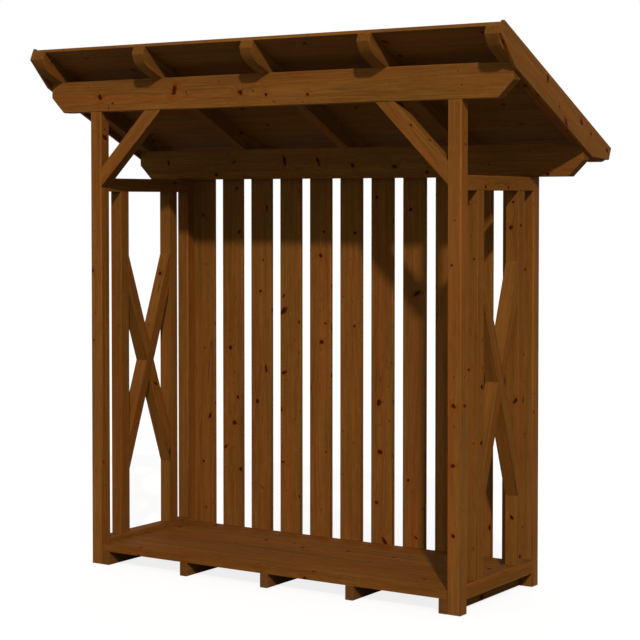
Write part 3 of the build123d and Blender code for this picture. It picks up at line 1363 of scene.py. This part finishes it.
@dataclass
class SidePanel:
    """Rails, stiles and the two halved diagonals between a front and a rear post.

    Attributes:
        side: which end of the store.
        diagonal_width: a diagonal's width in the plane of the panel.
        diagonal_rise: the height that a diagonal gains between the stiles.
        diagonal_blank: its length before its ends are cut, in heights of its box.
        arris: the rounding of the edges.
    """

    side: Side
    diagonal_width: float = 0.053
    diagonal_rise: float = 0.832
    diagonal_blank: float = 1.2
    arris: float = 0.002

    def diagonal(self, slope: Slope) -> Piece:
        """A diagonal cut plumb at the stiles and halved where the other one crosses it.

        The falling one keeps its outer half at the crossing, and the rising one its inner half.

        Args:
            slope: which of the two.

        Returns:
            The piece.
        """
        node = f"diagonal_{slope.name.lower()}_{self.side.word}"
        low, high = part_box(node)
        run = high.y - low.y
        along = Vector((0, run, slope.value * self.diagonal_rise)).normalized()
        where = lay((low + high) / 2, along, X.cross(along))
        back = where.inverted().to_3x3()
        length = (high.z - low.z) * self.diagonal_blank
        bar = Timber(length, self.diagonal_width, high.x - low.x, node)
        for y, normal in ((low.y, -Y), (high.y, Y)):
            bar.trim(where.inverted() @ Vector((0, y, (low.z + high.z) / 2)), back @ normal)
        other = back @ Vector((0, run, -slope.value * self.diagonal_rise)).normalized()
        wall = Vector((-other.y, other.x, 0))
        offset = wall * self.diagonal_width / 2
        outwards = back @ (X * self.side.value)
        open_side = -outwards if slope is Slope.FALLING else outwards
        bar.round_arrises(self.arris)
        bar.house(((offset, wall), (-offset, -wall)), (Vector(), open_side))
        return Piece(node, "panel_timber", [bar.place(where)])

    def pieces(self) -> list[Piece]:
        """Build the panel.

        Returns:
            Its pieces.
        """
        word = self.side.word
        rails = [f"rail_{level}_{word}" for level in ("bottom", "top")]
        stiles = [f"stile_{row.value}_{word}" for row in Row]
        made = [Piece(node, "panel_timber", [along_y(node, self.arris)]) for node in rails]
        made += [Piece(node, "panel_timber", [along_z(node, self.arris)]) for node in stiles]
        return made + [self.diagonal(slope) for slope in Slope]


@dataclass
class SlattedBack:
    """Upright boards with open gaps.

    Attributes:
        boards: how many there are.
        board_width: the width of one.
        arris: the rounding of the edges.
    """

    boards: int = 11
    board_width: float = 0.115
    arris: float = 0.003

    def pieces(self) -> list[Piece]:
        """Build the boards.

        The end boards' outer front arrises stay square, where they meet the posts.

        Returns:
            Their piece.
        """
        low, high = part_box("back_boards")
        middle = (low + high) / 2
        pitch = (high.x - low.x - self.board_width) / (self.boards - 1)
        wall = Piece("back_boards", "back_timber")
        for n in range(self.boards):
            board = Timber(high.z - low.z, self.board_width, high.y - low.y, f"back_{n}")
            centre = Vector((low.x + self.board_width / 2 + pitch * n, middle.y, middle.z))
            square = {0: ((-1, -1),), self.boards - 1: ((1, -1),)}.get(n, ())
            wall.timbers.append(board.round_arrises(self.arris, square).place(lay(centre, Z, X)))
        return [wall]


@dataclass(frozen=True)
class SlopeShape:
    """The side view of a timber that lies down the slope, with both ends cut away from below.

    Attributes:
        depth: its depth, square to the slope.
        lift: how much of the depth is cut away at each tip.
        reach: the length of each end cut.
        facets: 1 for a straight cut, more for one rounded into the underside.
        arris_turn: how far its long arris may turn from the length at the ends, in degrees.
    """

    depth: float
    lift: float
    reach: float
    facets: int = 1
    arris_turn: float = 55.0

    def end_cuts(self) -> list[tuple[float, float, float]]:
        """The cuts that shape an end.

        Returns:
            For each cut, how far before the tip and above the underside it passes, and its angle.
        """
        if self.facets == 1:
            return [(self.reach, 0.0, math.atan2(self.lift, self.reach))]
        radius = (self.reach ** 2 + self.lift ** 2) / (2 * self.lift)
        full = math.asin(self.reach / radius)
        angles = [full * (n + 0.5) / self.facets for n in range(self.facets)]
        return [(self.reach - radius * math.sin(a), radius - radius * math.cos(a), a) for a in angles]

    def blank(self, node: str) -> tuple[Timber, Matrix]:
        """Saw the timber out.

        Args:
            node: the node whose box it fills.

        Returns:
            The timber, and where it goes.
        """
        low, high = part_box(node)
        set_back = self.depth * math.sin(PITCH)
        tip = low.y - self.lift * math.sin(PITCH)
        length = (high.y - set_back - tip) / math.cos(PITCH)
        top_front = Vector(((low.x + high.x) / 2, tip + set_back, high.z))
        centre = top_front + DOWN_SLOPE * length / 2 - UP_FROM_SLOPE * self.depth / 2
        bar = Timber(length, self.depth, high.x - low.x, node, arris_turn=self.arris_turn)
        for end in (-1, 1):
            for before, above, angle in self.end_cuts():
                point = Vector((end * (length / 2 - before), above - self.depth / 2, 0))
                bar.trim(point, Vector((end * math.sin(angle), -math.cos(angle), 0)))
        return bar, lay(centre, DOWN_SLOPE, UP_FROM_SLOPE)


@dataclass
class Roof:
    """Notched rafters, the boards across them and a verge board at each end.

    Attributes:
        rafters: how many there are.
        rafter: the side view of a rafter.
        verge: the side view of a verge board.
        boards: how many roof boards there are.
        board_thickness: their thickness.
        joint: the open joint between them.
        arris: the rounding of the rafters' edges.
        board_arris: the rounding of the boards' edges.
    """

    rafters: int = 5
    rafter: SlopeShape = SlopeShape(depth=0.070, lift=0.035, reach=0.075, facets=14)
    verge: SlopeShape = SlopeShape(depth=0.118, lift=0.061, reach=0.155)
    boards: int = 8
    board_thickness: float = 0.016
    joint: float = 0.0015
    arris: float = 0.003
    board_arris: float = 0.002

    def rafter_piece(self, number: int) -> Piece:
        """A rafter notched over both purlins.

        Args:
            number: counted from the left.

        Returns:
            The piece.
        """
        node = f"rafter_{number}"
        bar, where = self.rafter.blank(node)
        bar.round_arrises(self.arris)
        back = where.inverted()
        turn = back.to_3x3()
        for row in Row:
            low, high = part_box(f"purlin_{row.value}")
            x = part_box(node)[0].x
            front, rear = back @ Vector((x, low.y, high.z)), back @ Vector((x, high.y, high.z))
            bar.house(((front, turn @ -Y), (rear, turn @ Y)), (front, turn @ -Z))
        return Piece(node, "rafter_timber", [bar.place(where)])

    def covering(self) -> Piece:
        """The boards that run along the roof.

        Returns:
            The piece.
        """
        low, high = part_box("roof_boards")
        thickness = self.board_thickness
        set_back = thickness * math.sin(PITCH)
        pitch = ((high.y - low.y - set_back) / math.cos(PITCH) + self.joint) / self.boards
        width = pitch - self.joint
        top_front = Vector(((low.x + high.x) / 2, low.y + set_back, high.z))
        made = Piece("roof_boards", "roof_timber")
        for n in range(self.boards):
            board = Timber(high.x - low.x, width, thickness, f"roof_{n}")
            centre = top_front + DOWN_SLOPE * (pitch * n + width / 2) - UP_FROM_SLOPE * thickness / 2
            board.round_arrises(self.board_arris)
            made.timbers.append(board.place(lay(centre, X, DOWN_SLOPE)))
        return made

    def verge_piece(self, side: Side) -> Piece:
        """The thin board that closes an end of the roof.

        Args:
            side: which end.

        Returns:
            The piece.
        """
        node = f"verge_board_{side.word}"
        bar, where = self.verge.blank(node)
        return Piece(node, "verge_timber", [bar.round_arrises(self.board_arris).place(where)])

    def pieces(self) -> list[Piece]:
        """Build the roof.

        Returns:
            Its pieces.
        """
        made = [self.rafter_piece(n) for n in range(1, self.rafters + 1)]
        return [*made, self.covering(), *(self.verge_piece(side) for side in Side)]


# ---- studio --------------------------------------------------------------------------------------


@dataclass(frozen=True)
class Lamp:
    """A distant lamp.

    Attributes:
        name: its name.
        travel: the direction in which its light goes.
        colour: its light's colour.
        strength: its strength.
        spread: its apparent width in degrees, which softens its shadows.
    """

    name: str
    travel: tuple[float, float, float]
    colour: tuple[float, float, float]
    strength: float
    spread: float

    def hang(self) -> None:
        """Add the lamp to the scene."""
        data = bpy.data.lights.new(self.name, "SUN")
        data.energy = self.strength
        data.color = self.colour
        data.angle = math.radians(self.spread)
        made = bpy.data.objects.new(self.name, data)
        made.rotation_euler = Vector(self.travel).to_track_quat("-Z", "Y").to_euler()
        bpy.context.collection.objects.link(made)


@dataclass(frozen=True)
class Studio:
    """A pale floor, a white surround, a key lamp, a fill lamp behind and the camera.

    Attributes:
        key: the main lamp.
        fill: the soft lamp behind.
        surround: the strength of the light from all round.
        surround_tint: its colour, a little cooler than the lamps.
        floor_size: the floor's side.
        floor_drop: how far it lies below the ground face, so that the two don't fight.
        floor_white: how much of the floor's white doesn't depend on the lamps.
        floor_seen: the colour that takes shadows on the floor, as it is looked at.
        floor_lighting: the floor's colour as it lights the store.
        eye: where the camera stands.
        turn: how far it is turned from +Y towards -X, in degrees.
        tilt: how far it looks down, in degrees.
        lens: its focal length in millimetres.
        rise: its lens shift up.
        sight: how far it sees.
    """

    key: Lamp = Lamp("key", (-0.492, 0.657, -0.571), (1.0, 0.93, 0.86), 2.95, 2.2)
    fill: Lamp = Lamp("fill", (0.5, -0.72, -0.48), (1.0, 1.0, 1.0), 1.1, 40.0)
    surround: float = 0.6
    surround_tint: tuple[float, float, float] = (0.86, 1.06, 1.12)
    floor_size: float = 60.0
    floor_drop: float = 0.0005
    floor_white: float = 0.84
    floor_seen: Colour = (0.19, 0.16, 0.15, 1.0)
    floor_lighting: Colour = (0.19, 0.2, 0.2, 1.0)
    eye: tuple[float, float, float] = (4.290, -6.494, 1.647)
    turn: float = 33.198
    tilt: float = 1.799
    lens: float = 99.36
    rise: float = -0.10
    sight: float = 200.0

    def seen(self, w: Wiring) -> Socket:
        """1 where the camera, a gloss or a pane looks at the surround, and 0 where it only lights.

        Args:
            w: the wiring to add it to.

        Returns:
            The value's socket.
        """
        path = w.node("ShaderNodeLightPath").outputs
        seen = w.math("MAXIMUM", path["Is Camera Ray"], path["Is Glossy Ray"])
        return w.math("MAXIMUM", seen, path["Is Transmission Ray"])

    def lay_floor(self) -> None:
        """The pale floor, which keeps the object's shadow."""
        plane = bmesh.new()
        bmesh.ops.create_grid(plane, x_segments=1, y_segments=1, size=self.floor_size / 2)
        bmesh.ops.translate(plane, vec=(0, 0, -self.floor_drop), verts=plane.verts)
        mesh = bpy.data.meshes.new("studio_floor")
        plane.to_mesh(mesh)
        plane.free()
        made = bpy.data.materials.new("studio_floor")
        w = Wiring.fresh(made)
        lighting = w.node("ShaderNodeBsdfDiffuse")
        lighting.inputs["Color"].default_value = self.floor_lighting
        shown = w.node("ShaderNodeBsdfDiffuse")
        shown.inputs["Color"].default_value = self.floor_seen
        white = w.node("ShaderNodeEmission")
        white.inputs["Strength"].default_value = self.floor_white
        both = w.node("ShaderNodeAddShader")
        w.feed(both.inputs[0], shown.outputs[0])
        w.feed(both.inputs[1], white.outputs[0])
        mixed = w.node("ShaderNodeMixShader")
        w.feed(mixed.inputs[0], self.seen(w))
        w.feed(mixed.inputs[1], lighting.outputs[0])
        w.feed(mixed.inputs[2], both.outputs[0])
        w.feed(w.node("ShaderNodeOutputMaterial").inputs["Surface"], mixed.outputs[0])
        mesh.materials.append(made)
        floor = bpy.data.objects.new("studio_floor", mesh)
        bpy.context.collection.objects.link(floor)

    def light(self) -> None:
        """The white surround and the two lamps."""
        world = bpy.data.worlds.new("studio")
        bpy.context.scene.world = world
        w = Wiring.fresh(world)
        white = w.node("ShaderNodeBackground")
        seen = self.seen(w)
        strength = w.scaled(seen, 1.0 - self.surround, self.surround)
        tint = w.blend(seen, (*self.surround_tint, 1.0), (1.0, 1.0, 1.0, 1.0))
        w.feed(white.inputs["Color"], tint)
        w.feed(white.inputs["Strength"], strength)
        w.feed(w.node("ShaderNodeOutputWorld").inputs["Surface"], white.outputs[0])
        self.key.hang()
        self.fill.hang()

    def set_camera(self) -> None:
        """The camera at its place."""
        data = bpy.data.cameras.new("camera")
        data.lens = self.lens
        data.shift_y = self.rise
        data.clip_end = self.sight
        made = bpy.data.objects.new("camera", data)
        made.location = self.eye
        made.rotation_euler = (math.radians(90.0 - self.tilt), 0.0, math.radians(self.turn))
        bpy.context.collection.objects.link(made)
        bpy.context.scene.camera = made
        bpy.context.scene.view_settings.view_transform = "Standard"

    def set_up(self) -> None:
        """Floor, light and camera."""
        self.lay_floor()
        self.light()
        self.set_camera()


def main() -> None:
    """Build the store part by part, then the studio round it."""
    finishes = {finish.slot: finish.material() for finish in FINISHES}
    parts = (Floor(), PostFrame(), SidePanel(Side.LEFT), SidePanel(Side.RIGHT), SlattedBack(), Roof())
    for part in parts:
        for piece in part.pieces():
            piece.finish(finishes)
    Studio().set_up()


if __name__ == "__main__":
    main()
